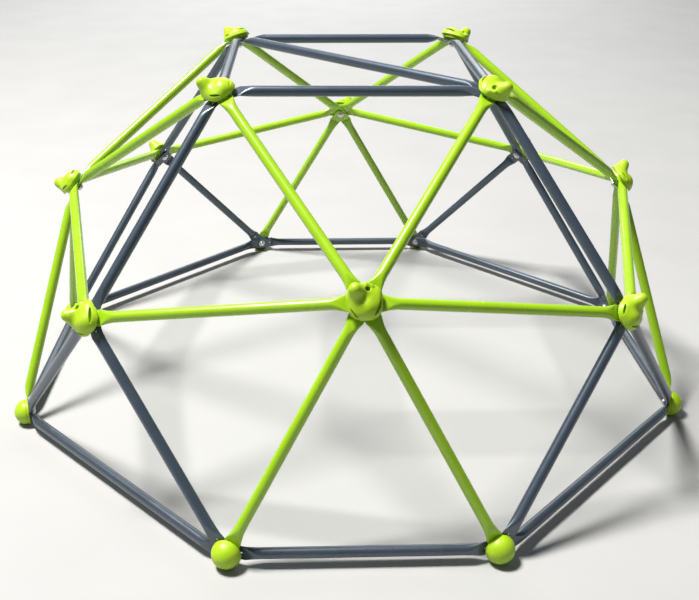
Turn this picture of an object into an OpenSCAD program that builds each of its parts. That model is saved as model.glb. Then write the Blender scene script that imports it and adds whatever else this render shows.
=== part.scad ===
// Dome climber: 49 tube struts bolted to each other at 20 hubs, with a moulded climbing hold on
// each raised hub and a moulded foot cap on each ground hub. Nothing on it moves.
// Millimetres, +Z up. The origin is on the ground at the middle of the dome, and the front is -Y.
// The ring sizes make the 24 light struts and the 4 top bars one length, and 16 dark struts another.

/* [Dome] */
// Radius of the circle through the eight ground hubs
ground_r = 915; // [905:1:925]
// Angle from a star hub round to the ground hub on either side of it, in degrees
ground_spread = 18.8; // [18.4:0.1:19.2]
// Radius of the circle through the four star hubs
star_r = 744; // [736:1:752]
// Height of the star hubs above the ground hubs
star_h = 536; // [528:1:544]
// Radius of the circle through the four corner hubs
corner_r = 845; // [838:1:852]
// Height of the corner hubs above the ground hubs
corner_h = 430; // [422:1:438]
// Radius of the circle through the four top hubs
top_r = 441; // [435:1:447]
// Height of the top hubs above the ground hubs
top_h = 861; // [853:1:869]

/* [Struts] */
// Outside diameter of the tube
tube_d = 25.4; // [24:0.1:26]
// Wall thickness of the tube
tube_wall = 1.2; // [1:0.1:1.5]
// Width of the tab that is pressed flat at each end
tab_w = 37; // [34:0.5:38]
// Distance from the bolt hole to the bend in the tab
tab_reach = 38; // [36:0.5:42]
// The same distance on a tab that lies less than 50 degrees from the one under it
crowded_tab_reach = 44; // [43:0.5:48]
// Length of the tab past the bolt hole
tab_tail = 14; // [12:0.5:16]
// Size of the cut on each corner of the tab
tab_corner = 3; // [2:0.5:5]
// Length over which the flat tab becomes a round tube
neck_len = 38; // [34:1:44]
// Distance from the vent hole to the bend in the tab
vent_setback = 8; // [6:0.5:10]
// Diameter of the vent hole
vent_d = 5; // [4:0.5:6]

/* [Fasteners] */
// Diameter of the hub bolt
bolt_d = 8; // [6:1:8]
// Diameter of the bolt holes in the tabs
bolt_hole_d = 9; // [8.5:0.1:9.5]
// Diameter of the bolt's round head
bolt_head_d = 17; // [15:0.5:18]
// Height of the bolt's round head
bolt_head_h = 6; // [5:0.5:7]
// Outside diameter of the washer under the bolt head
washer_d = 22; // [20:0.5:24]
// Thickness of the washer
washer_t = 1.6; // [1.2:0.1:2]
// Width across the flats of the insert nut
nut_af = 13; // [12:0.5:14]
// Length of the insert nut
nut_len = 12; // [10:0.5:13]

/* [Climbing holds] */
// Width of the hold's body, across its flattened sides
hold_w = 74; // [70:1:78]
// Distance from the middle of the hold to its rounded corners
hold_corner_r = 42; // [40:1:43]
// Radius of the hold's crowned face
crown_r = 46; // [45:1:48]
// Height of the crowned face above the tabs
crown_h = 33; // [31:1:35]
// Diameter of the boss under the body
boss_d = 66; // [60:1:68]
// Height of the boss
boss_h = 8; // [6:1:10]
// Diameter of the nose
nose_d = 26; // [24:1:27]
// Height of the nose's tip above the tabs
hold_h = 51; // [49:1:53]
// Distance of the nose's tip centre from the bolt's axis
nose_out = 32; // [30:1:33]
// Diameter of the finger hole beside the nose
finger_d = 11; // [9:1:12]
// Distance of the finger hole from the bolt's axis
finger_out = 29; // [27:1:30]
// Angle of the finger hole, counted from the hold's own +X
finger_angle = 36; // [32:1:40]
// How far each hold is turned about its bolt, in degrees: top hubs first, then star, then corner
hold_turns = [120, 172, 155, 175, 43, -33, 60, 155, 100, -38, 30, -40];

/* [Foot caps] */
// Radius of the cap
cap_r = 34; // [32:1:36]
// Height of the cap's straight skirt
cap_skirt = 3; // [2:0.5:4]
// Thickness of the cap's wall
cap_wall = 3; // [2.5:0.5:3.5]
// Diameter of the boss inside the cap
cap_boss_d = 22; // [20:1:24]
// Depth of the flat pad on which the cap stands
pad_cut = 1; // [0.5:0.5:1.5]

/* [Hidden] */
$fn = 48;
// Facets of the round end of each neck
NECK_FN = 24;
// How far one solid of a strut reaches into the next
LAP = 1;
// How far the necks are kept inside the tab's and the tube's own surfaces
NECK_INSET = 0.3;
// Distance from the bend back to the middle of the neck's root, inside the tab
NECK_ROOT = 2;
// Radius of the tips of a strut's hollow
TIP_R = 1;
// How far into a neck the hollow's tip reaches, as a share of the neck's length
TIP_SHARE = 0.2;
// Where the nose grows out of the hold's body: its distance along +Y and its height above the tabs
NOSE_ROOT_Y = 6;
NOSE_ROOT_Z = 18;
// How far the crowned face's centre stands off the bolt's axis, along +Y
CROWN_OFF = 2;
// Height of the finger hole's floor above the boss
FINGER_FLOOR = 6;
// Slits pressed into the hold's sides: distance from the axis, angle, direction and length of each
SLITS = [[28, -68, 17, 34], [23, 181, -102, 21]];
// Half the width of a slit at its middle
SLIT_HALF = 2;
// How far a slit's walls lean out from the bolt's axis
SLIT_LEAN = 35;
// Height of a slit's middle above the boss, and how far the cut reaches through the surface
SLIT_UP = 14;
SLIT_REACH = 20;
// Room beyond the nut for the end of the bolt
BOLT_END_ROOM = 4;
// Thickness of the ribs inside a foot cap
RIB_T = 2;
// Air between one tab and the next, and between the nut and its pocket
GAP = 0.1;

LIME = [0.62, 0.85, 0.12];
SLATE = [0.2, 0.23, 0.27];
ZINC = [0.75, 0.76, 0.78];

SIDES = ["front", "right", "back", "left"];
CORNERS = ["front_left", "front_right", "back_right", "back_left"];
FRONT_AZIMUTH = 270;
CORNER_AZIMUTH = 225;

tab_t = 2 * tube_wall;
tab_pitch = tab_t + GAP;
hub_z = cap_r - pad_cut;
bore_r = tube_d / 2 - tube_wall;

function unit(v) = v / norm(v);
function ring_point(r, azimuth, h) = [r * cos(azimuth), r * sin(azimuth), hub_z + h];

// Every hub's bolt points away from the middle of the ground circle.
function hub_axis(hub) = unit(hub - [0, 0, hub_z]);
function uphill(hub) = unit([0, 0, 1] - hub_axis(hub)[2] * hub_axis(hub));

top_hubs = [for (i = [0:3]) ring_point(top_r, CORNER_AZIMUTH + 90 * i, top_h)];
star_hubs = [for (i = [0:3]) ring_point(star_r, FRONT_AZIMUTH + 90 * i, star_h)];
corner_hubs = [for (i = [0:3]) ring_point(corner_r, CORNER_AZIMUTH + 90 * i, corner_h)];
ground_hubs = [
    for (i = [0:3], s = [-1, 1])
        ring_point(ground_r, FRONT_AZIMUTH + 90 * i + s * ground_spread, 0)];

// The number of tabs stacked on each bolt. The top diagonal adds one to two of the top hubs.
STAR_TABS = 6;
CORNER_TABS = 5;
GROUND_TABS = 4;
function top_tabs(i) = 5 + i % 2;

// Height of one tab's middle along the bolt, with place 0 outermost of count tabs.
function layer(place, count) = ((count - 1) / 2 - place) * tab_pitch;
function stack_face(count) = count * tab_pitch / 2;

// An end is [hub, layer, distance from bolt to bend], for one of count tabs on that hub.
function end(hub, place, count, reach = tab_reach) = [hub, layer(place, count), reach];
function top_end(i, place, reach = tab_reach) = end(top_hubs[i % 4], place, top_tabs(i), reach);

// A strut is [name, paint, end, other end]. side is 0 for the strut on the left and 1 for the one
// on the right, seen from outside.
function hand(side) = ["left", "right"][side];
function top_bar(i) = [
    str("top_bar_", SIDES[i]), SLATE,
    top_end(i, 3, crowded_tab_reach),
    top_end(i + 1, 4, crowded_tab_reach)];
function top_diagonal() = [
    "top_bar_diagonal", SLATE,
    top_end(1, 5),
    top_end(3, 5)];
function corner_riser(i) = [
    str("corner_riser_", CORNERS[i]), SLATE,
    end(corner_hubs[i], 2, CORNER_TABS),
    top_end(i, 2)];
function corner_leg(i, side) = [
    str("corner_leg_", CORNERS[i], "_", hand(side)), SLATE,
    end(corner_hubs[i], 3 + side, CORNER_TABS),
    end(ground_hubs[(2 * i + 7 + side) % 8], 1, GROUND_TABS, crowded_tab_reach)];
function ground_side_bar(i) = [
    str("ground_bar_", SIDES[i]), SLATE,
    end(ground_hubs[2 * i], 3, GROUND_TABS),
    end(ground_hubs[2 * i + 1], 3, GROUND_TABS)];
function ground_corner_bar(i) = [
    str("ground_bar_", CORNERS[i]), SLATE,
    end(ground_hubs[(2 * i + 7) % 8], 2, GROUND_TABS),
    end(ground_hubs[2 * i], 2, GROUND_TABS)];
function star_arm(i, side) = [
    str("star_arm_", SIDES[i], "_", hand(side)), LIME,
    end(star_hubs[i], side, STAR_TABS),
    end(corner_hubs[(i + side) % 4], side, CORNER_TABS)];
function star_riser(i, side) = [
    str("star_riser_", SIDES[i], "_", hand(side)), LIME,
    end(star_hubs[i], 2 + side, STAR_TABS),
    top_end(i + side, side)];
function star_leg(i, side) = [
    str("star_leg_", SIDES[i], "_", hand(side)), LIME,
    end(star_hubs[i], 4 + side, STAR_TABS),
    end(ground_hubs[2 * i + side], 0, GROUND_TABS)];

STRUTS = concat(
    [for (i = [0:3]) top_bar(i)],
    [top_diagonal()],
    [for (i = [0:3]) corner_riser(i)],
    [for (i = [0:3], side = [0, 1]) corner_leg(i, side)],
    [for (i = [0:3]) ground_side_bar(i)],
    [for (i = [0:3]) ground_corner_bar(i)],
    [for (i = [0:3], side = [0, 1]) star_arm(i, side)],
    [for (i = [0:3], side = [0, 1]) star_riser(i, side)],
    [for (i = [0:3], side = [0, 1]) star_leg(i, side)]);

// Each place on a hub is [hub, number of tabs there].
TOP_PLACES = [for (i = [0:3]) [top_hubs[i], top_tabs(i)]];
STAR_PLACES = [for (hub = star_hubs) [hub, STAR_TABS]];
CORNER_PLACES = [for (hub = corner_hubs) [hub, CORNER_TABS]];
GROUND_PLACES = [for (hub = ground_hubs) [hub, GROUND_TABS]];
HUB_PLACES = concat(TOP_PLACES, STAR_PLACES, CORNER_PLACES, GROUND_PLACES);

// Puts children at origin with their +X along x_dir and their +Z along z_dir.
module in_frame(origin, x_dir, z_dir) {
    y_dir = cross(z_dir, x_dir);
    multmatrix([
        [x_dir[0], y_dir[0], z_dir[0], origin[0]],
        [x_dir[1], y_dir[1], z_dir[1], origin[1]],
        [x_dir[2], y_dir[2], z_dir[2], origin[2]],
        [0, 0, 0, 1]])
        children();
}

// Puts children on a hub: +Z out along the bolt, +Y uphill, and z = 0 in the middle of the tabs.
module on_hub(hub) {
    in_frame(hub, cross(uphill(hub), hub_axis(hub)), hub_axis(hub))
        children();
}

// Direction of the tab at a hub, towards the far hub but square to the bolt.
function tab_dir(hub, far) = unit(far - hub - ((far - hub) * hub_axis(hub)) * hub_axis(hub));
function bend_point(e, far) = e[0] + e[1] * hub_axis(e[0]) + e[2] * tab_dir(e[0], far);

// Flat end of a strut with its bolt hole and vent hole, lying on the hub.
module tab(e, far) {
    reach = e[2];
    in_frame(e[0], tab_dir(e[0], far), hub_axis(e[0]))
        translate([0, 0, e[1]])
            difference() {
                linear_extrude(tab_t, center = true)
                    polygon([
                        [reach, -tab_w / 2],
                        [reach, tab_w / 2],
                        [tab_corner - tab_tail, tab_w / 2],
                        [-tab_tail, tab_w / 2 - tab_corner],
                        [-tab_tail, tab_corner - tab_w / 2],
                        [tab_corner - tab_tail, -tab_w / 2]]);
                cylinder(h = 2 * tab_t, d = bolt_hole_d, center = true);
                translate([reach - vent_setback, 0, 0])
                    cylinder(h = 2 * tab_t, d = vent_d, center = true);
            }
}

// Change from the bend in the tab to the round tube, which runs along run from the bend.
module neck(e, far, run) {
    bend = bend_point(e, far);
    axis = hub_axis(e[0]);
    hull() {
        in_frame(bend, tab_dir(e[0], far), axis)
            translate([-NECK_ROOT, 0, 0])
                cube([LAP, tab_w - 2 * NECK_INSET, tab_t - 2 * NECK_INSET], center = true);
        in_frame(bend, unit(cross(run, axis)), run)
            translate([0, 0, neck_len + LAP / 2])
                cylinder(h = LAP, r = tube_d / 2 - NECK_INSET, $fn = NECK_FN);
    }
}

// Hollow of a strut whose bends are span apart. It narrows to a closed tip inside each neck.
module hollow(span) {
    tip = neck_len * TIP_SHARE;
    rotate_extrude()
        polygon([
            [0, tip],
            [TIP_R, tip],
            [bore_r, neck_len],
            [bore_r, span - neck_len],
            [TIP_R, span - tip],
            [0, span - tip]]);
}

// One strut: a tube with a closed neck and a flat tab at each end.
module strut(s) {
    near = s[2];
    far = s[3];
    start = bend_point(near, far[0]);
    finish = bend_point(far, near[0]);
    span = norm(finish - start);
    run = unit(finish - start);
    side = unit(cross(run, hub_axis(near[0])));
    color(s[1]) {
        tab(near, far[0]);
        tab(far, near[0]);
        difference() {
            union() {
                neck(near, far[0], run);
                neck(far, near[0], -run);
                in_frame(start, side, run)
                    translate([0, 0, neck_len])
                        cylinder(h = span - 2 * neck_len, d = tube_d);
            }
            in_frame(start, side, run)
                hollow(span);
        }
    }
}

// Pocket for an insert nut, open at z = 0.
module nut_pocket() {
    translate([0, 0, -LAP])
        cylinder(h = nut_len + GAP + LAP, d = (nut_af + 2 * GAP) / cos(30), $fn = 6);
    translate([0, 0, nut_len])
        cylinder(h = BOLT_END_ROOM, d = bolt_d + 2 * GAP);
}

// Slit pressed into the side of a hold, at radius r and angle a, turned by slant about its middle.
module slit(r, a, slant, length) {
    rotate(a)
        translate([r, 0, boss_h + SLIT_UP])
            rotate([0, -SLIT_LEAN, slant - a])
                linear_extrude(SLIT_REACH, center = true)
                    polygon([[-length / 2, 0], [0, -SLIT_HALF], [length / 2, 0], [0, SLIT_HALF]]);
}

// Moulded climbing hold. Its base is at z = 0 and its nose leans towards +Y, over a corner of its body.
module hold() {
    lean = [0, nose_out - NOSE_ROOT_Y, hold_h - nose_d / 2 - NOSE_ROOT_Z];
    difference() {
        union() {
            cylinder(h = boss_h + LAP, d = boss_d);
            intersection() {
                translate([0, 0, boss_h])
                    linear_extrude(hold_h)
                        intersection() {
                            rotate(45)
                                square(hold_w, center = true);
                            circle(r = hold_corner_r);
                        }
                translate([0, CROWN_OFF, crown_h - crown_r])
                    sphere(r = crown_r);
            }
            in_frame([0, NOSE_ROOT_Y, NOSE_ROOT_Z], [1, 0, 0], unit(lean))
                rotate_extrude()
                    intersection() {
                        square([nose_d, norm(lean) + nose_d]);
                        union() {
                            square([nose_d / 2, norm(lean)]);
                            translate([0, norm(lean)])
                                circle(d = nose_d);
                        }
                    }
        }
        rotate(finger_angle)
            translate([finger_out, 0, boss_h + FINGER_FLOOR])
                cylinder(h = hold_h, d = finger_d);
        for (s = SLITS)
            slit(s[0], s[1], s[2], s[3]);
        nut_pocket();
    }
}

// Holds of one ring. first is the ring's first entry in hold_turns.
module holds(places, first) {
    color(LIME)
        for (i = [0:3])
            on_hub(places[i][0])
                translate([0, 0, stack_face(places[i][1])])
                    rotate(hold_turns[first + i])
                        hold();
}

module top_holds() {
    holds(TOP_PLACES, 0);
}

module star_holds() {
    holds(STAR_PLACES, 4);
}

module corner_holds() {
    holds(CORNER_PLACES, 8);
}

// Half-round foot cap, hollow, with a ribbed boss for the insert nut. Its rim is at z = 0.
module foot_cap() {
    difference() {
        union() {
            cylinder(h = cap_skirt, r = cap_r);
            translate([0, 0, cap_skirt])
                intersection() {
                    sphere(r = cap_r);
                    cylinder(h = cap_r, r = cap_r);
                }
        }
        difference() {
            union() {
                translate([0, 0, -LAP])
                    cylinder(h = cap_skirt + LAP, r = cap_r - cap_wall);
                translate([0, 0, cap_skirt])
                    sphere(r = cap_r - cap_wall);
            }
            cylinder(h = cap_r, d = cap_boss_d);
            translate([0, 0, cap_r / 2])
                for (a = [0, 90])
                    rotate(a)
                        cube([2 * cap_r, RIB_T, cap_r], center = true);
        }
        nut_pocket();
        // Level pad, square to the ground, which is hub_z below the bolt
        translate([-cap_r, -hub_z - cap_r, -LAP])
            cube([2 * cap_r, cap_r, cap_r + cap_skirt + 2 * LAP]);
    }
}

module foot_caps() {
    color(LIME)
        for (place = GROUND_PLACES)
            on_hub(place[0])
                translate([0, 0, stack_face(place[1])])
                    foot_cap();
}

// Round-headed hub bolt, put in from inside the dome, for a stack of count tabs.
module hub_bolt(count) {
    under_head = -stack_face(count) - washer_t;
    crown = (pow(bolt_head_d / 2, 2) + pow(bolt_head_h, 2)) / (2 * bolt_head_h);
    translate([0, 0, under_head])
        cylinder(h = stack_face(count) * 2 + washer_t + nut_len, d = bolt_d);
    translate([0, 0, under_head])
        intersection() {
            translate([0, 0, -bolt_head_h])
                cylinder(h = bolt_head_h, d = bolt_head_d);
            translate([0, 0, crown - bolt_head_h])
                sphere(r = crown);
        }
}

module hub_bolts() {
    color(ZINC)
        for (place = HUB_PLACES)
            on_hub(place[0])
                hub_bolt(place[1]);
}

module hub_washers() {
    color(ZINC)
        for (place = HUB_PLACES)
            on_hub(place[0])
                translate([0, 0, -stack_face(place[1]) - washer_t])
                    difference() {
                        cylinder(h = washer_t, d = washer_d);
                        translate([0, 0, -LAP])
                            cylinder(h = washer_t + 2 * LAP, d = bolt_d + 2 * GAP);
                    }
}

// Hexagonal nuts moulded into the holds and caps. Their threads are left plain.
module insert_nuts() {
    color(ZINC)
        for (i = [0:len(HUB_PLACES) - 1])
            on_hub(HUB_PLACES[i][0])
                translate([0, 0, stack_face(HUB_PLACES[i][1])])
                    rotate(i < len(hold_turns) ? hold_turns[i] : 0)
                        difference() {
                            cylinder(h = nut_len, d = nut_af / cos(30), $fn = 6);
                            translate([0, 0, -LAP])
                                cylinder(h = nut_len + 2 * LAP, d = bolt_d + GAP);
                        }
}

for (s = STRUTS)
    strut(s);
top_holds();
star_holds();
corner_holds();
foot_caps();
hub_bolts();
hub_washers();
insert_nuts();
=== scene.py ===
import math
from collections import namedtuple

import bmesh
import bpy
import numpy as np
from mathutils import Matrix, Vector


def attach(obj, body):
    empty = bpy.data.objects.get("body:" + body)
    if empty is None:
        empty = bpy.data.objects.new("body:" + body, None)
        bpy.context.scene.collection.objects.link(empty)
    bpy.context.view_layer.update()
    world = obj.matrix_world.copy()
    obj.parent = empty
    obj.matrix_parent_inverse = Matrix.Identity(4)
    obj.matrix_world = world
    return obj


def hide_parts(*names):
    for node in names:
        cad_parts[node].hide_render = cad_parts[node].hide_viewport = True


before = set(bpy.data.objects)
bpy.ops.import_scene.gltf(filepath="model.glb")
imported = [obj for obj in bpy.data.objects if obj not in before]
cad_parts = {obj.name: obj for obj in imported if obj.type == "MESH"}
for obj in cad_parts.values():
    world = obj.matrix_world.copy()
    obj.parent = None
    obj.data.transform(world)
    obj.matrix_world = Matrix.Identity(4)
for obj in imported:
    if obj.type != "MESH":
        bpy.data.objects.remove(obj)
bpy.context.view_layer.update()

# Places are in metres, in the frame of the CAD model, and are measured on its nodes. The moulded shapes and
# the fasteners are drawn in millimetres.
MM = 0.001
HOLD_NODES = ("top_holds", "star_holds", "corner_holds")
CAP_NODE = "foot_caps"
FASTENER_NODES = ("hub_bolts", "hub_washers", "insert_nuts")
# How far from a hub each of its parts is looked for: its washer, the moulded piece on it, the base of
# a hold, the tabs' bolt holes (out from the bolt, and along it) and the tabs
WASHER_REACH = 40 * MM
MOULDED_REACH = 80 * MM
BASE_REACH = 30 * MM
HOLE_REACH = 6 * MM
STACK_REACH = 12 * MM
TAB_REACH = 60 * MM
# Share of a tab's thickness, either way from its middle, that holds all of the tab's points
TAB_SHARE = 0.6
# How close to a tab's widest point its side still counts as straight
SIDE_SLACK = 0.1 * MM
# Depth of the hold's top that shows where its nose is
NOSE_DEPTH = 6 * MM
# Steepest rise of a bolt that still counts as level
LEVEL = 0.1
# Angle, in degrees, before +X at which counting round the dome starts
SEAM = 10

# A hub: the middle of its stack of tabs, the way its bolt points, half the stack's thickness, and how far
# its hold is turned
Hub = namedtuple("Hub", "centre axis base turn")
# A strut's end: its hub, the directions along and across its tab, the tab's height in the stack, thickness
# and half width, and how far the bend and the tail are from the bolt
End = namedtuple("End", "hub along side layer thick half reach tail")


# ---------------------------------------------------------------- measuring the CAD model

def points(node):
    """The vertices of a CAD node, each place once."""
    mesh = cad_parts[node].data
    co = np.empty(3 * len(mesh.vertices), np.float32)
    mesh.vertices.foreach_get("co", co)
    return np.unique(co.astype(float).reshape(-1, 3).round(7), axis=0)


def clusters(co, reach):
    """The points in groups, each within reach of the group's first point."""
    groups = []
    while len(co):
        near = np.linalg.norm(co - co[0], axis=1) < reach
        groups.append(co[near])
        co = co[~near]
    return groups


def azimuth(p):
    """Angle round the dome in degrees, counted from SEAM before +X so that +X itself comes first."""
    return (math.degrees(math.atan2(p[1], p[0])) + SEAM) % 360


def find_hubs():
    """Every hub, sorted by height and then round the dome."""
    moulded = np.concatenate([points(n) for n in HOLD_NODES + (CAP_NODE,)])
    found = []
    for washer in clusters(points("hub_washers"), WASHER_REACH):
        middle = washer.mean(0)
        axis = np.linalg.svd(washer - middle)[2][2]
        axis *= np.sign(axis @ middle)
        above = moulded[np.linalg.norm(moulded - middle, axis=1) < MOULDED_REACH]
        washer_face = (washer @ axis).max()
        base = (above @ axis).min()
        centre = middle + axis * ((washer_face + base) / 2 - middle @ axis)
        hub = Hub(Vector(centre), Vector(axis), (base - washer_face) / 2, 0)
        found.append(hub if is_ground(hub) else hub._replace(turn=nose_turn(hub, above)))
    return sorted(found, key=lambda h: (round(h.centre.z, 2), azimuth(h.centre)))


def is_ground(hub):
    """Ground hubs have level bolts."""
    return abs(hub.axis.z) < LEVEL


def uphill(hub):
    """Steepest way up in the plane across a hub's bolt."""
    return (Vector((0, 0, 1)) - hub.axis.z * hub.axis).normalized()


def hub_frame(hub, lift=0.0, turn=0.0):
    """Matrix that puts a piece on a hub: +Z out along the bolt, +Y uphill, then turned about the bolt."""
    up = uphill(hub)
    m = Matrix((up.cross(hub.axis), up, hub.axis)).transposed().to_4x4()
    m.translation = hub.centre + hub.axis * lift
    return m @ Matrix.Rotation(turn, 4, "Z")


def nose_turn(hub, hold):
    """How far a hub's CAD hold is turned about its bolt, from where its nose stands out highest."""
    local = (hold - np.array(hub.centre)) @ np.array(hub_frame(hub).to_3x3())
    nose = local[local[:, 2] > local[:, 2].max() - NOSE_DEPTH].mean(0)
    return math.atan2(nose[1], nose[0]) - math.pi / 2


def find_end(co, hub, far):
    """The end of a strut on one hub: its tab's direction, layer in the stack and outline."""
    axis = hub.axis
    away = far.centre - hub.centre
    along = (away - away.dot(axis) * axis).normalized()
    side = axis.cross(along)
    local = (co - np.array(hub.centre)) @ np.array((along, side, axis)).T
    hole = local[np.hypot(local[:, 0], local[:, 1]) < HOLE_REACH]
    layer, thick = (hole[:, 2].max() + hole[:, 2].min()) / 2, np.ptp(hole[:, 2])
    flat = local[(abs(local[:, 2] - layer) < TAB_SHARE * thick) & (local[:, 0] < TAB_REACH)]
    half = abs(flat[:, 1]).max()
    reach = flat[abs(flat[:, 1]) > half - SIDE_SLACK][:, 0].max()
    return End(hub, along, side, layer, thick, half, reach, -flat[:, 0].min())


def strut_ends(node, hubs):
    """Both ends of a strut. Its two hubs are those whose bolts pass through its bolt holes."""
    co = points(node)
    on = []
    for hub in hubs:
        rel = co - np.array(hub.centre)
        height = rel @ np.array(hub.axis)
        radius = np.linalg.norm(rel - np.outer(height, hub.axis), axis=1)
        if ((radius < HOLE_REACH) & (abs(height) < STACK_REACH)).any():
            on.append(hub)
    return find_end(co, on[0], on[1]), find_end(co, on[1], on[0])


# ---------------------------------------------------------------- meshes

def new_object(name, mesh, material):
    """A piece of the object, from mesh data in the frame of the CAD model."""
    mesh.name = name
    mesh.materials.clear()
    mesh.materials.append(material)
    piece = bpy.data.objects.new(name, mesh)
    bpy.context.scene.collection.objects.link(piece)
    return piece


def finish_piece(piece, slot, *nodes):
    """Hang a piece on the body, in place of its CAD nodes, which it hides. The slot argument is not used.
    """
    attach(piece, "root")
    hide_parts(*nodes)


def smooth(mesh, sharp_degrees):
    """Smooth shading, with a hard edge where two faces meet at more than sharp_degrees."""
    mesh.shade_smooth()
    mesh.set_sharp_from_angle(angle=math.radians(sharp_degrees))


def lathe(profile, segments):
    """Mesh of a closed or axis-to-axis profile of (radius, height), turned about +Z."""
    bm = bmesh.new()
    rings = []
    for radius, height in profile:
        if radius < 1e-6:
            rings.append([bm.verts.new((0, 0, height))])
            continue
        rings.append([
            bm.verts.new((radius * math.cos(a), radius * math.sin(a), height))
            for a in (2 * math.pi * i / segments for i in range(segments))])
    for low, high in zip(rings, rings[1:] + rings[:1]):
        if len(low) == len(high) == 1:
            continue
        for i in range(segments):
            j = (i + 1) % segments
            corners = [low[i % len(low)], low[j % len(low)], high[j % len(high)], high[i % len(high)]]
            bm.faces.new(list(dict.fromkeys(corners)))
    bmesh.ops.recalc_face_normals(bm, faces=bm.faces)
    mesh = bpy.data.meshes.new("lathe")
    bm.to_mesh(mesh)
    bm.free()
    return mesh


def lathe_mm(profile, segments=40):
    """Lathe of a profile in millimetres."""
    return lathe([(radius * MM, height * MM) for radius, height in profile], segments)


def joined(meshes):
    """One mesh from several (mesh, matrix) pairs."""
    bm = bmesh.new()
    for mesh, matrix in meshes:
        copy = mesh.copy()
        copy.transform(matrix)
        bm.from_mesh(copy)
        bpy.data.meshes.remove(copy)
    mesh = bpy.data.meshes.new("joined")
    bm.to_mesh(mesh)
    bm.free()
    return mesh


def cut(mesh, cutters):
    """The mesh with each cutter mesh taken out of it."""
    scene = bpy.context.scene.collection
    body = bpy.data.objects.new("cut", mesh)
    tool = bpy.data.objects.new("cutter", joined(cutters))
    scene.objects.link(body)
    scene.objects.link(tool)
    modifier = body.modifiers.new("cut", "BOOLEAN")
    modifier.operation = "DIFFERENCE"
    modifier.object = tool
    modifier.solver = "EXACT"
    result = bpy.data.meshes.new_from_object(body.evaluated_get(bpy.context.evaluated_depsgraph_get()))
    bpy.data.objects.remove(body)
    bpy.data.objects.remove(tool)
    return result


# ---------------------------------------------------------------- struts

TUBE_R = 12.7 * MM
NECK_LEN = 38 * MM
TAB_CORNER = 3 * MM
BOLT_HOLE_R = 4.5 * MM
VENT_R = 2.5 * MM
VENT_SETBACK = 8 * MM
NECK_STEPS = 12
TUBE_STEPS = 8
ARC_STEPS = 12
FLAT_STEPS = 4
HOLE_SIDES = 32
# Half the height of the cutter for a hole
HOLE_HALF = 2.5 * MM
# How far short of the bend the tab's last ring stops
BEND_GAP = 1.2 * MM
# Exponent of the neck's swelling from the tab to the tube. Less than 1 swells sooner
NECK_SWELL = 0.9
# Sharpest angle, in degrees, at which a strut is still shaded smooth
STRUT_SMOOTH = 24
# Angle on each side of straight up that belongs to the flat of a tab or the crown of the tube
FLAT_ANGLE = math.radians(8)
# Rounding of the sheared edge of a tab: each step is (distance in from the end, share of the thickness)
SHEARED = [(0, 0.35), (0.3 * MM, 0.75), (1.2 * MM, 1)]


def section():
    """Unit cross-section of a strut: (position across the flat from 1 to -1, cosine, sine)."""
    loop = []
    arc = math.pi / 2 - FLAT_ANGLE
    for start, place in ((-arc, 1), (math.pi - arc, -1)):
        loop += [(place, start + 2 * arc * i / ARC_STEPS) for i in range(ARC_STEPS + 1)]
        loop += [
            (place * (1 - 2 * i / FLAT_STEPS), start + 2 * arc + 2 * FLAT_ANGLE * i / FLAT_STEPS)
            for i in range(1, FLAT_STEPS)]
    return [(place, math.cos(a), math.sin(a)) for place, a in loop]


SECTION = section()


def ring(centre, side, normal, flat, radius):
    """Ring of points round a strut: flat is half the width of its flat, radius that of its edges."""
    return [
        centre + side * (flat * place + radius * c) + normal * (radius * s)
        for place, c, s in SECTION]


def tab_rings(end):
    """Rings along a tab from its tail to just short of the bend."""
    axis = end.hub.axis
    radius = end.thick / 2
    tail_half = end.half - TAB_CORNER
    spots = [(inset - end.tail, tail_half + inset, radius * share) for inset, share in SHEARED]
    spots.append((TAB_CORNER - end.tail, end.half, radius))
    stops = (-BOLT_HOLE_R, BOLT_HOLE_R, end.reach / 2, end.reach - BEND_GAP)
    spots += [(x, end.half, radius) for x in stops]
    origin = end.hub.centre + axis * end.layer
    return [ring(origin + end.along * x, end.side, axis, half - r, r) for x, half, r in spots]


def neck_size(t, end):
    """Half flat and edge radius at share t of the neck. The wall keeps its length round the section."""
    first = end.thick / 2
    radius = first + (TUBE_R - first) * math.sin(math.pi / 2 * t) ** NECK_SWELL
    return (end.half - first) * (TUBE_R - radius) / (TUBE_R - first), radius


def bend_of(end):
    """Where a strut's tab turns into its neck."""
    return end.hub.centre + end.hub.axis * end.layer + end.along * end.reach


def half_strut(end, run):
    """Rings from the tail of a tab to the end of its neck, and the neck's own side direction."""
    bend = bend_of(end)
    side = end.hub.axis.cross(run).normalized()
    normal = run.cross(side)
    mitre = (normal + end.hub.axis) / (1 + normal.dot(end.hub.axis))
    rings = tab_rings(end)
    rings.append(ring(bend, side, mitre, *neck_size(0, end)))
    for i in range(1, NECK_STEPS + 1):
        t = i / NECK_STEPS
        rings.append(ring(bend + run * (NECK_LEN * t), side, normal, *neck_size(t, end)))
    return rings, side


def loft(rings):
    """Closed skin through rings of points, with a flat cap on each end."""
    bm = bmesh.new()
    rows = [[bm.verts.new(p) for p in r] for r in rings]
    for low, high in zip(rows, rows[1:]):
        for i in range(len(low)):
            j = (i + 1) % len(low)
            bm.faces.new((low[i], low[j], high[j], high[i]))
    bm.faces.new(rows[0])
    bm.faces.new(rows[-1])
    bmesh.ops.recalc_face_normals(bm, faces=bm.faces)
    mesh = bpy.data.meshes.new("loft")
    bm.to_mesh(mesh)
    bm.free()
    return mesh


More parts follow.
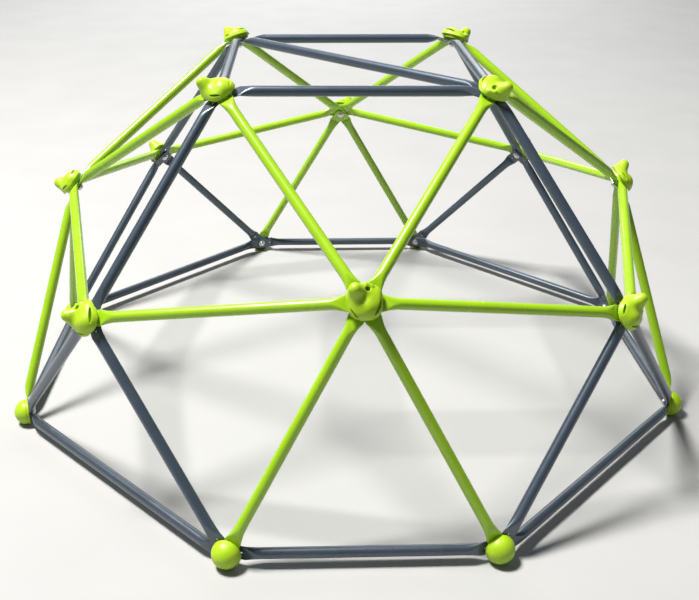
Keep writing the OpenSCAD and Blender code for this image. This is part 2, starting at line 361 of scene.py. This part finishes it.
def strut_mesh(near, far):
    """A strut as one closed skin, with its bolt and vent holes."""
    start, stop = bend_of(near), bend_of(far)
    run = (stop - start).normalized()
    rings, side = half_strut(near, run)
    far_rings, far_side = half_strut(far, -run)
    # The far half is made looking back along the run, so its rings are turned over to match
    far_side = -far_side
    twist = math.atan2(side.cross(far_side).dot(run), side.dot(far_side))
    inner = (stop - start).length - 2 * NECK_LEN
    for i in range(1, TUBE_STEPS):
        t = i / TUBE_STEPS
        turned = Matrix.Rotation(twist * t, 3, run) @ side
        rings.append(ring(start + run * (NECK_LEN + inner * t), turned, run.cross(turned), 0, TUBE_R))
    rings += [mirrored(r) for r in reversed(far_rings)]
    cutters = []
    for end in (near, far):
        place = Matrix((end.along, end.side, end.hub.axis)).transposed().to_4x4()
        place.translation = end.hub.centre + end.hub.axis * end.layer
        cutters.append((HOLE, place))
        vent = Matrix.Translation((end.reach - VENT_SETBACK, 0, 0))
        cutters.append((HOLE, place @ vent @ Matrix.Diagonal((VENT_R / BOLT_HOLE_R,) * 2 + (1, 1))))
    mesh = cut(loft(rings), cutters)
    smooth(mesh, STRUT_SMOOTH)
    return mesh


def mirrored(ring_points):
    """A ring's points in the order that they would have with its side direction turned round."""
    count = len(SECTION)
    return [ring_points[(count // 2 + ARC_STEPS - i) % count] for i in range(count)]


HOLE = lathe(
    [(0, -HOLE_HALF), (BOLT_HOLE_R, -HOLE_HALF), (BOLT_HOLE_R, HOLE_HALF), (0, HOLE_HALF)], HOLE_SIDES)


# ---------------------------------------------------------------- moulded shapes, distance fields in mm

def smooth_min(a, b, k):
    """The nearer of two distances, blended over k: a union with a fillet."""
    h = np.clip(0.5 + 0.5 * (b - a) / k, 0, 1)
    return b + (a - b) * h - k * h * (1 - h)


def smooth_max(a, b, k):
    return -smooth_min(-a, -b, k)


def carve(body, tool, k):
    """body with tool taken out and the edge rounded over k."""
    return smooth_max(body, -tool, k)


def ball(p, centre, radius):
    return np.linalg.norm(p - np.array(centre), axis=-1) - radius


def rod(p, a, b, radius_a, radius_b=None):
    """Round-ended rod from a to b. Where its radii differ, its sides are tangent to both end balls."""
    a, b = np.array(a, float), np.array(b, float)
    radius_b = radius_a if radius_b is None else radius_b
    length = np.linalg.norm(b - a)
    height = (p - a) @ (b - a) / length
    across = np.sqrt(np.maximum(((p - a) ** 2).sum(-1) - height ** 2, 0))
    lean = (radius_a - radius_b) / length
    level = math.sqrt(1 - lean ** 2)
    foot = height - across * lean / level
    side = across * level + height * lean - radius_a
    near_a = np.hypot(across, height) - radius_a
    near_b = np.hypot(across, height - length) - radius_b
    return np.where(foot < 0, near_a, np.where(foot > length, near_b, side))


def hexagon(x, y, half):
    """Distance to a hexagonal prism whose flats are that half width from its middle."""
    return np.maximum(abs(x), abs(x) / 2 + abs(y) * math.sqrt(3) / 2) - half


def rounded_outline(u, v, half_u, half_v, upper_radius, lower_radius):
    """Distance to a rectangle whose upper and lower corners are rounded differently."""
    radius = np.where(v > 0, upper_radius, lower_radius)
    du, dv = abs(u) - half_u + radius, abs(v) - half_v + radius
    return np.minimum(np.maximum(du, dv), 0) + np.hypot(np.maximum(du, 0), np.maximum(dv, 0)) - radius


# How far up from level the hold's flanks face where the notches are pressed into them
FLANK_TILT = math.radians(38)


def leaf(p, angle, out, height, slant, size):
    """Thin lens that cuts a leaf-shaped notch: size is its half length, half width and depth."""
    a, s = math.radians(angle), math.radians(slant)
    level = math.cos(FLANK_TILT)
    face = np.array((math.cos(a) * level, math.sin(a) * level, math.sin(FLANK_TILT)))
    length = np.array((math.cos(s), math.sin(s), 0))
    length -= length @ face * face
    length /= np.linalg.norm(length)
    local = (p - np.array((out * math.cos(a), out * math.sin(a), height))) @ np.array(
        (length, np.cross(face, length), face)).T
    share = np.linalg.norm(local / np.array(size), axis=-1)
    return (share - 1) * min(size)


# Pocket for the insert nut, and the room beyond it for the end of the bolt
NUT_HALF = 6.6
NUT_DEPTH = 12.1
BOLT_R = 4.1
BOLT_DEPTH = 16
# Rounding of the pocket's mouth
MOUTH_EDGE = 0.4


def nut_pocket(p):
    """Hexagonal pocket for the insert nut, with room for the end of the bolt."""
    x, y, z = p[..., 0], p[..., 1], p[..., 2]
    pocket = np.maximum(hexagon(y, x, NUT_HALF), z - NUT_DEPTH)
    return np.minimum(pocket, np.maximum(np.hypot(x, y) - BOLT_R, z - BOLT_DEPTH))


# Angle between the hold's nose and the top of its outline
BODY_TURN = math.radians(43)
# The outline's half sizes and its upper and lower corners
BODY_HALF_U = 37
BODY_HALF_V = 38
UPPER_CORNER_R = 19
LOWER_CORNER_R = 30
# How much the flanks lean in with height
FLANK_DRAFT = 0.15
# The body stands this high on its round boss
RIM_Z = 8
BOSS_R = 32
# Big sphere that crowns the body, and the low hump on it away from the nose: centre and radius
CROWN = ((-1, -2, -26), 58)
HUMP = ((-5, -12, 14), 20)
# Nose: the centres and radii of its root and tip
NOSE_ROOT = (0, 15, 8)
NOSE_ROOT_R = 27
NOSE_TIP = (0, 31, 37)
NOSE_R = 13.5
# Bridge of plastic round the outer side of the finger hole: foot, top, foot, and its radius
BRIDGE = ((15, 29, 19), (25, 24, 21), (31, 14, 18))
BRIDGE_R = 5
# Saddle between the nose and the crown, and the finger hole: ends and radius of the rod that cuts each
SADDLE = ((-26, 7, 44), (22, 1, 42), 9)
FINGER_HOLE = ((21, 15, 16), (20, 13, 60), 5.2)
# Pressed notches: angle, distance out, height, slant, size
NOTCHES = ((-66, 30, 21, 17, (19, 3.6, 10)), (184, 32, 17, -102, (12, 2.8, 7)))


def hold_field(p):
    """Moulded climbing hold, nose towards +Y, base at z = 0.

    The last number of each join and cut is its blend.
    """
    x, y, z = p[..., 0], p[..., 1], p[..., 2]
    u = x * math.cos(BODY_TURN) - y * math.sin(BODY_TURN)
    v = x * math.sin(BODY_TURN) + y * math.cos(BODY_TURN)
    outline = rounded_outline(u, v, BODY_HALF_U, BODY_HALF_V, UPPER_CORNER_R, LOWER_CORNER_R)
    body = smooth_max(outline + FLANK_DRAFT * (z - RIM_Z), ball(p, *CROWN), 9)
    body = smooth_min(body, ball(p, *HUMP), 7)
    body = smooth_min(body, rod(p, NOSE_ROOT, NOSE_TIP, NOSE_ROOT_R, NOSE_R), 10)
    first, top, last = BRIDGE
    bridge = smooth_min(rod(p, first, top, BRIDGE_R), rod(p, top, last, BRIDGE_R), 2)
    body = smooth_min(body, bridge, 5)
    body = carve(body, rod(p, *SADDLE), 7)
    body = carve(body, rod(p, *FINGER_HOLE), 2)
    for notch in NOTCHES:
        body = carve(body, leaf(p, *notch), 1)
    body = smooth_max(body, RIM_Z - z, 1)
    boss = smooth_max(np.hypot(x, y) - BOSS_R, z - RIM_Z - 1, 0.5)
    body = np.minimum(body, boss)
    body = smooth_max(body, -z, 0.6)
    return carve(body, nut_pocket(p), MOUTH_EDGE)


CAP_R = 33.9
CAP_SKIRT = 3
CAP_WALL = 3
CAP_BOSS_R = 11
RIB_HALF = 1
# Groove round the cap, above its skirt
GROOVE_UP = 2.4
GROOVE_R = 1.1
# Drain holes through the cap's lower side: their angles, height above the rim and radius
DRAIN_ANGLES = (-125, -108, -72, -55)
DRAIN_Z = 5.5
DRAIN_R = 1.6


def cap_field(p, ground):
    """Half-round foot cap with its rim at z = 0. The ground is below it, at y = -ground."""
    x, y, z = p[..., 0], p[..., 1], p[..., 2]
    across = np.hypot(x, y)
    dome = np.linalg.norm(p - np.array((0, 0, CAP_SKIRT)), axis=-1)
    shell = smooth_max(across - CAP_R, np.where(z > CAP_SKIRT, dome, across) - CAP_R, 1)
    groove = np.hypot(across - CAP_R, z - CAP_SKIRT - GROOVE_UP) - GROOVE_R
    shell = carve(shell, groove, 0.8)
    inside = np.where(z > CAP_SKIRT, dome, across) - CAP_R + CAP_WALL
    ribs = np.minimum(abs(x), abs(y)) - RIB_HALF
    inside = smooth_max(inside, -np.minimum(across - CAP_BOSS_R, ribs), 1)
    shell = carve(shell, inside, 0.5)
    shell = smooth_max(shell, -z, 0.5)
    for angle in DRAIN_ANGLES:
        a = math.radians(angle)
        mouth = np.array((CAP_R * math.cos(a), CAP_R * math.sin(a), DRAIN_Z))
        shell = carve(shell, rod(p, mouth * (0.8, 0.8, 1), mouth * (1.2, 1.2, 1), DRAIN_R), 0.5)
    shell = smooth_max(shell, -y - ground, 1)
    return carve(shell, nut_pocket(p), MOUTH_EDGE)


def slope_of(field, p, step=0.05):
    """Gradient of a distance field at points p."""
    offsets = np.eye(3) * step
    return np.stack([(field(p + o) - field(p - o)) / (2 * step) for o in offsets], -1)


# How many times a skin is pulled onto its surface, and the least squared slope that a pull divides by
PULLS = 4
LEAST_SLOPE = 0.2


def skin(field, low, high, step):
    """Closed mesh of a distance field's zero surface: surface nets, then pulled onto the surface."""
    lattice = [np.arange(a, b + step, step) for a, b in zip(low, high)]
    grid = np.stack(np.meshgrid(*lattice, indexing="ij"), -1)
    value = field(grid)
    cells = tuple(n - 1 for n in value.shape)
    total = np.zeros(cells + (3,))
    count = np.zeros(cells)
    edges = []
    for axis in range(3):
        ends = [slice(None)] * 3
        ends[axis] = slice(None, -1)
        first, spot = value[tuple(ends)], grid[tuple(ends)].copy()
        ends[axis] = slice(1, None)
        second = value[tuple(ends)]
        crossing = (first < 0) != (second < 0)
        spot[..., axis] += step * np.where(crossing, first / np.where(crossing, first - second, 1), 0)
        others = [a for a in range(3) if a != axis]
        for shift in ((0, 0), (0, 1), (1, 0), (1, 1)):
            pick = [slice(None)] * 3
            for other, s in zip(others, shift):
                pick[other] = slice(s, cells[other] + s)
            pick = tuple(pick)
            total += spot[pick] * crossing[pick][..., None]
            count += crossing[pick]
        edges.append((axis, others, crossing, first < 0))
    used = count > 0
    number = np.full(cells, -1)
    number[used] = np.arange(used.sum())
    co = total[used] / count[used][:, None]
    for _ in range(PULLS):
        slope = slope_of(field, co)
        size = np.maximum((slope ** 2).sum(-1), LEAST_SLOPE)
        co -= np.clip((field(co) / size)[:, None] * slope, -step / 2, step / 2)
    faces = []
    for axis, others, crossing, inside in edges:
        core = [slice(None)] * 3
        for other in others:
            core[other] = slice(1, -1)
        corners = []
        for shift in ((0, 0), (1, 0), (1, 1), (0, 1)):
            pick = [slice(None)] * 3
            for other, s in zip(others, shift):
                pick[other] = slice(s, cells[other] - 1 + s)
            corners.append(number[tuple(pick)])
        core = tuple(core)
        quads = np.stack(corners, -1)
        outward = inside[core] == (axis != 1)
        faces.append(quads[crossing[core] & outward])
        faces.append(quads[crossing[core] & ~outward][:, ::-1])
    mesh = bpy.data.meshes.new("skin")
    mesh.from_pydata((co * MM).tolist(), [], np.concatenate(faces).tolist())
    mesh.update()
    return mesh


# ---------------------------------------------------------------- fasteners, lathe profiles in mm

HEAD_R = 8.5
HEAD_H = 5.9
# Height of the straight side under the head's dome, its chamfer, and the steps in the dome
HEAD_SIDE = 1.2
HEAD_CHAMFER = 0.4
DOME_STEPS = 10
WASHER_R = 11
WASHER_T = 1.6
WASHER_CHAMFER = 0.25
WASHER_PLAY = 0.2
THREAD_R = 4
THREAD_CHAMFER = 0.8
# How far the bolt reaches beyond the stack of tabs
BOLT_REACH = 11.5
NUT_CORNER_R = 7.4
NUT_LEN = 11.8
NUT_CHAMFER = 0.6
NUT_PLAY = 0.1


def bolt_profile(stack):
    """Round-headed bolt whose head ends on a washer below a stack of tabs of that thickness."""
    under = -stack / 2 - WASHER_T
    dome = [
        (HEAD_R * math.cos(a), under - HEAD_SIDE - (HEAD_H - HEAD_SIDE) * math.sin(a))
        for a in (math.pi / 2 * i / DOME_STEPS for i in range(DOME_STEPS + 1))]
    tip = stack / 2 + BOLT_REACH
    return [
        (0, tip), (THREAD_R - THREAD_CHAMFER, tip), (THREAD_R, tip - THREAD_CHAMFER), (THREAD_R, under),
        (HEAD_R - HEAD_CHAMFER, under), (HEAD_R, under - HEAD_CHAMFER), *dome[:-1], (0, dome[-1][1])]


def washer_profile(stack):
    """Washer with chamfered edges below a stack of tabs of that thickness."""
    low, high = -stack / 2 - WASHER_T, -stack / 2
    bore, edge = THREAD_R + WASHER_PLAY, WASHER_R - WASHER_CHAMFER
    return [
        (bore, low), (edge, low), (WASHER_R, low + WASHER_CHAMFER),
        (WASHER_R, high - WASHER_CHAMFER), (edge, high), (bore, high)]


def nut_mesh():
    """Hexagonal nut with chamfered ends and a plain bore."""
    face_r, bore_r = NUT_CORNER_R - NUT_CHAMFER, THREAD_R + NUT_PLAY
    body = lathe_mm([
        (0, 0), (face_r, 0), (NUT_CORNER_R, NUT_CHAMFER),
        (NUT_CORNER_R, NUT_LEN - NUT_CHAMFER), (face_r, NUT_LEN), (0, NUT_LEN)], 6)
    bore = lathe_mm([(0, -1), (bore_r, -1), (bore_r, NUT_LEN + 1), (0, NUT_LEN + 1)], HOLE_SIDES)
    return cut(body, [(bore, Matrix.Identity(4))])


# ---------------------------------------------------------------- materials

def add(tree, kind, inputs=None, **settings):
    """A shader node. An input that is a socket is linked, and any other is set."""
    node = tree.nodes.new(kind)
    for key, value in settings.items():
        setattr(node, key, value)
    for key, value in (inputs or {}).items():
        give(tree, node.inputs[key], value)
    return node


def give(tree, socket, value):
    """Link a socket to the input, or set the input to a value."""
    if isinstance(value, bpy.types.NodeSocket):
        tree.links.new(value, socket)
    else:
        socket.default_value = value


def new_material(name, **constants):
    """A new Principled material, its tree, its shader and the places of its points."""
    material = bpy.data.materials.new(name)
    material.use_nodes = True
    tree = material.node_tree
    shader = tree.nodes["Principled BSDF"]
    for key, value in constants.items():
        shader.inputs[key.replace("_", " ")].default_value = value
    place = add(tree, "ShaderNodeTexCoord").outputs["Object"]
    return material, tree, shader, place


def noise(tree, place, scale, detail=3, roughness=0.5):
    """Noise of about 1 / scale metres."""
    inputs = {"Vector": place, "Scale": scale, "Detail": detail, "Roughness": roughness}
    return add(tree, "ShaderNodeTexNoise", inputs).outputs["Fac"]


def remap(tree, value, low, high, to_low=0.0, to_high=1.0):
    """value spread from low..high to to_low..to_high, and held at the ends."""
    inputs = {"Value": value, "From Min": low, "From Max": high, "To Min": to_low, "To Max": to_high}
    return add(tree, "ShaderNodeMapRange", inputs).outputs["Result"]


def times(tree, a, b):
    return add(tree, "ShaderNodeMath", {0: a, 1: b}, operation="MULTIPLY").outputs[0]


def plus(tree, a, b):
    return add(tree, "ShaderNodeMath", {0: a, 1: b}, operation="ADD", use_clamp=True).outputs[0]


def blend_colour(tree, share, a, b):
    """Colour a, with that share of colour b."""
    node = add(tree, "ShaderNodeMix", {"Factor": share}, data_type="RGBA")
    give(tree, node.inputs[6], a)
    give(tree, node.inputs[7], b)
    return node.outputs[2]


def bump(tree, height, strength, distance, normal=None):
    """Normal bent by a height, on top of another normal if there is one."""
    inputs = {"Height": height, "Strength": strength, "Distance": distance}
    if normal is not None:
        inputs["Normal"] = normal
    return add(tree, "ShaderNodeBump", inputs).outputs["Normal"]


def dust(tree, place, amount):
    """How dusty a point is: most on faces that look up, in soft patches."""
    geometry = add(tree, "ShaderNodeNewGeometry")
    upward = add(tree, "ShaderNodeSeparateXYZ", {0: geometry.outputs["Normal"]}).outputs["Z"]
    patches = remap(tree, noise(tree, place, 35, 5, 0.65), 0.42, 0.7)
    return times(tree, times(tree, remap(tree, upward, 0.1, 0.95, 0.15, 1), patches), amount)


def soil(tree, place, reach, amount):
    """How much dried soil a point has: it fades out at reach above the ground."""
    height = add(tree, "ShaderNodeSeparateXYZ", {0: place}).outputs["Z"]
    spots = remap(tree, noise(tree, place, 210, 6, 0.75), 0.5, 0.62)
    return times(tree, times(tree, remap(tree, height, 0.01, reach, 1, 0), spots), amount)


DUST = (0.42, 0.40, 0.34, 1)
SOIL = (0.16, 0.12, 0.08, 1)
SCUFFED_GREEN = (0.62, 0.78, 0.22, 1)
DIRTY_GREEN = (0.2, 0.22, 0.08, 1)
WHITE = (1, 1, 1, 1)
# Bluish tint for reflections: a painted reflection of blue sky
PAINTED_SKY_BLUE = (0.72, 0.86, 1, 1)
BRIGHT_ZINC = (0.78, 0.79, 0.80, 1)
DULL_ZINC = (0.56, 0.57, 0.58, 1)
FLOOR_GREY = (0.40, 0.40, 0.40, 1)
FLOOR_PALE = (0.42, 0.42, 0.42, 1)
# How far red, green and blue light travel inside the plastic, and the scale that this is taken at
GLOW = (0.004, 0.006, 0.001)
GLOW_SCALE = 0.5


def powder_coat(name, colour, shade, roughness, grime, coat, ior, sheen):
    """Glossy powder-coated steel: orange peel, fine grit, a little dust, and soil near the ground.

    grime is how much the dust and grit show, and sheen is the tint of the reflections; a bluish sheen is a
    painted reflection of blue sky.
    """
    material, tree, shader, place = new_material(
        name, Coat_Weight=coat, Coat_Roughness=0.12, IOR=ior, Specular_Tint=sheen)
    cloud = remap(tree, noise(tree, place, 14, 4), 0.3, 0.7)
    paint = blend_colour(tree, cloud, colour, shade)
    grit = remap(tree, noise(tree, place, 900, 4, 0.8), 0.62, 0.72)
    dirt = times(tree, plus(tree, dust(tree, place, 1), times(tree, grit, 0.6)), grime)
    mud = soil(tree, place, 0.08, 0.4)
    paint = blend_colour(tree, dirt, paint, DUST)
    give(tree, shader.inputs["Base Color"], blend_colour(tree, mud, paint, SOIL))
    patchy = remap(tree, noise(tree, place, 60, 4), 0.3, 0.7, roughness - 0.02, roughness + 0.03)
    give(tree, shader.inputs["Roughness"], plus(tree, patchy, times(tree, plus(tree, dirt, mud), 0.3)))
    peel = bump(tree, noise(tree, place, 300, 2), 0.03, 0.0006)
    give(tree, shader.inputs["Normal"], bump(tree, noise(tree, place, 1500, 2), 0.02, 0.0002, peel))
    return material


def moulded_plastic(name, colour, shade):
    """Moulded plastic: a fine leather-like grain, pale scuffs, dark specks, and soil near the ground."""
    material, tree, shader, place = new_material(
        name, Subsurface_Weight=0.06, Subsurface_Radius=GLOW, Subsurface_Scale=GLOW_SCALE, IOR=1.47)
    tone = remap(tree, noise(tree, place, 26, 4), 0.3, 0.7)
    plastic = blend_colour(tree, tone, colour, shade)
    scuffs = times(tree, remap(tree, noise(tree, place, 110, 6, 0.8), 0.57, 0.68), 0.28)
    specks = times(tree, remap(tree, noise(tree, place, 480, 3, 0.7), 0.66, 0.72), 0.45)
    dirt = plus(tree, dust(tree, place, 0.08), specks)
    mud = soil(tree, place, 0.04, 0.6)
    plastic = blend_colour(tree, scuffs, plastic, SCUFFED_GREEN)
    plastic = blend_colour(tree, dirt, plastic, DIRTY_GREEN)
    give(tree, shader.inputs["Base Color"], blend_colour(tree, mud, plastic, SOIL))
    rough = remap(tree, noise(tree, place, 80, 4), 0.3, 0.7, 0.33, 0.46)
    give(tree, shader.inputs["Roughness"], plus(tree, rough, times(tree, plus(tree, scuffs, dirt), 0.5)))
    cells = add(tree, "ShaderNodeTexVoronoi", {"Vector": place, "Scale": 1100}).outputs["Distance"]
    grain = bump(tree, cells, 0.1, 0.0002)
    give(tree, shader.inputs["Normal"], bump(tree, noise(tree, place, 160, 4), 0.18, 0.0008, grain))
    return material


def zinc_plate(name):
    """Bright zinc plating with a faint mottle and fine turning marks."""
    material, tree, shader, place = new_material(name, Metallic=1.0)
    mottle = remap(tree, noise(tree, place, 260, 5, 0.7), 0.35, 0.65)
    metal = blend_colour(tree, mottle, BRIGHT_ZINC, DULL_ZINC)
    give(tree, shader.inputs["Base Color"], metal)
    give(tree, shader.inputs["Roughness"], remap(tree, mottle, 0, 1, 0.2, 0.36))
    give(tree, shader.inputs["Normal"], bump(tree, noise(tree, place, 2200, 2), 0.1, 0.0002))
    return material


def studio_floor():
    """Plain pale floor with a faint soft mottle."""
    material, tree, shader, place = new_material("floor", Specular_IOR_Level=0.2)
    tone = remap(tree, noise(tree, place, 3, 3), 0.3, 0.7)
    grey = blend_colour(tree, tone, FLOOR_GREY, FLOOR_PALE)
    give(tree, shader.inputs["Base Color"], grey)
    shader.inputs["Roughness"].default_value = 0.85
    return material


GREEN_PAINT = powder_coat(
    "green_paint", (0.28, 0.50, 0.006, 1), (0.31, 0.54, 0.010, 1),
    roughness=0.25, grime=0.035, coat=0.4, ior=1.5, sheen=WHITE)
# The dark paint's bluish sheen is a painted reflection of blue sky
DARK_PAINT = powder_coat(
    "dark_paint", (0.033, 0.045, 0.066, 1), (0.041, 0.054, 0.078, 1),
    roughness=0.34, grime=0.012, coat=0.3, ior=1.75, sheen=PAINTED_SKY_BLUE)
GREEN_PLASTIC = moulded_plastic("green_plastic", (0.34, 0.54, 0.008, 1), (0.38, 0.59, 0.012, 1))
ZINC = zinc_plate("zinc")


# ---------------------------------------------------------------- building the dome

# Size in millimetres of the cells in which the moulded shapes are meshed, and the box round each
MOULDED_STEP = 1.1
HOLD_BOX = ((-46, -46, -2), (46, 50, 53))
CAP_BOX = ((-37, -36, -2), (37, 37, 40))
# Sharpest angle, in degrees, at which moulded pieces and fasteners are still shaded smooth
MOULDED_SMOOTH = 40
FASTENER_SMOOTH = 30


def build_struts(hubs):
    """One tube on each strut of the CAD model, in place of its node."""
    for node in sorted(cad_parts):
        if node in HOLD_NODES or node == CAP_NODE or node in FASTENER_NODES:
            continue
        green = node.startswith("star_")
        mesh = strut_mesh(*strut_ends(node, hubs))
        piece = new_object(node + "_tube", mesh, GREEN_PAINT if green else DARK_PAINT)
        finish_piece(piece, "green_paint" if green else "dark_paint", node)


def place_holds(hubs):
    """One hold on each raised hub, turned as the CAD hold there is."""
    shape = skin(hold_field, *HOLD_BOX, MOULDED_STEP)
    smooth(shape, MOULDED_SMOOTH)
    for node in HOLD_NODES:
        co = points(node)
        own_hubs = [
            h for h in hubs if np.linalg.norm(co - np.array(h.centre), axis=1).min() < BASE_REACH]
        for i, hub in enumerate(own_hubs):
            mesh = shape.copy()
            mesh.transform(hub_frame(hub, hub.base, hub.turn))
            piece = new_object(f"{node[:-1]}_{i + 1}", mesh, GREEN_PLASTIC)
            finish_piece(piece, "green_plastic", node)


def place_caps(hubs):
    """One cap on each ground hub."""
    feet = [hub for hub in hubs if is_ground(hub)]
    ground = feet[0].centre.z / MM
    shape = skin(lambda p: cap_field(p, ground), *CAP_BOX, MOULDED_STEP)
    smooth(shape, MOULDED_SMOOTH)
    for i, hub in enumerate(feet):
        mesh = shape.copy()
        mesh.transform(hub_frame(hub, hub.base))
        piece = new_object(f"foot_cap_{i + 1}", mesh, GREEN_PLASTIC)
        finish_piece(piece, "green_plastic", CAP_NODE)


def place_fasteners(hubs):
    """A bolt, a washer and an insert nut on each hub, each kind as one piece."""
    nut = nut_mesh()
    sets = {"hub_bolts": [], "hub_washers": [], "insert_nuts": []}
    for hub in hubs:
        stack = 2 * hub.base / MM
        sets["hub_bolts"].append((lathe_mm(bolt_profile(stack)), hub_frame(hub)))
        sets["hub_washers"].append((lathe_mm(washer_profile(stack)), hub_frame(hub)))
        sets["insert_nuts"].append((nut, hub_frame(hub, hub.base, hub.turn)))
    for node, parts in sets.items():
        mesh = joined(parts)
        smooth(mesh, FASTENER_SMOOTH)
        finish_piece(new_object(node + "_set", mesh, ZINC), "zinc", node)


# ---------------------------------------------------------------- studio

FLOOR_HALF = 14
# What the lights face: the middle of the dome, and for the backdrop light the floor behind it
MIDDLE = (0, 0, 0.4)
BACKDROP = (0, 9, 0)
SUNNY = (1, 0.98, 0.94)
COOL = (0.92, 0.96, 1)
SKY = (0.82, 0.93, 1, 1)
SKY_STRENGTH = 0.12

SENSOR = 36
LENS = 48.9
SHIFT = (0.0109, -0.0154)
CAMERA_PLACE = (-0.1124, -2.4898, 1.4354)
YAW, PITCH, ROLL = math.radians(-2.15), math.radians(64.5), math.radians(0.4)


def add_floor():
    bm = bmesh.new()
    bmesh.ops.create_grid(bm, x_segments=8, y_segments=8, size=FLOOR_HALF)
    mesh = bpy.data.meshes.new("floor")
    bm.to_mesh(mesh)
    bm.free()
    new_object("floor", mesh, studio_floor())


def add_softbox(name, place, target, size, power, colour):
    """Square area light facing the target."""
    light = bpy.data.lights.new(name, "AREA")
    light.size = size
    light.energy = power
    light.color = colour
    lamp = bpy.data.objects.new(name, light)
    lamp.location = place
    lamp.rotation_euler = (Vector(target) - Vector(place)).to_track_quat("-Z", "Y").to_euler()
    bpy.context.scene.collection.objects.link(lamp)


def light_studio():
    add_softbox("key", (-3.2, 0.2, 8.4), MIDDLE, 1.8, 1750, SUNNY)
    add_softbox("fill_front", (-2.6, -4.2, 2.6), MIDDLE, 2.6, 8, COOL)
    add_softbox("fill_back", (1.5, 4.2, 2.4), MIDDLE, 2.4, 8, COOL)
    add_softbox("backdrop", (0, 9, 4), BACKDROP, 6, 420, (1, 1, 1))
    world = bpy.data.worlds.new("studio")
    bpy.context.scene.world = world
    world.use_nodes = True
    background = world.node_tree.nodes["Background"]
    background.inputs["Color"].default_value = SKY
    background.inputs["Strength"].default_value = SKY_STRENGTH
    bpy.context.scene.view_settings.view_transform = "Standard"


def add_camera():
    camera = bpy.data.cameras.new("camera")
    camera.sensor_width = SENSOR
    camera.lens = LENS
    camera.shift_x, camera.shift_y = SHIFT
    rig = bpy.data.objects.new("camera", camera)
    rig.location = CAMERA_PLACE
    turn = Matrix.Rotation(YAW, 3, "Z") @ Matrix.Rotation(PITCH, 3, "X") @ Matrix.Rotation(ROLL, 3, "Z")
    rig.rotation_euler = turn.to_euler()
    bpy.context.scene.collection.objects.link(rig)
    bpy.context.scene.camera = rig


add_camera()
add_floor()
light_studio()
HUBS = find_hubs()
build_struts(HUBS)
place_holds(HUBS)
place_caps(HUBS)
place_fasteners(HUBS)
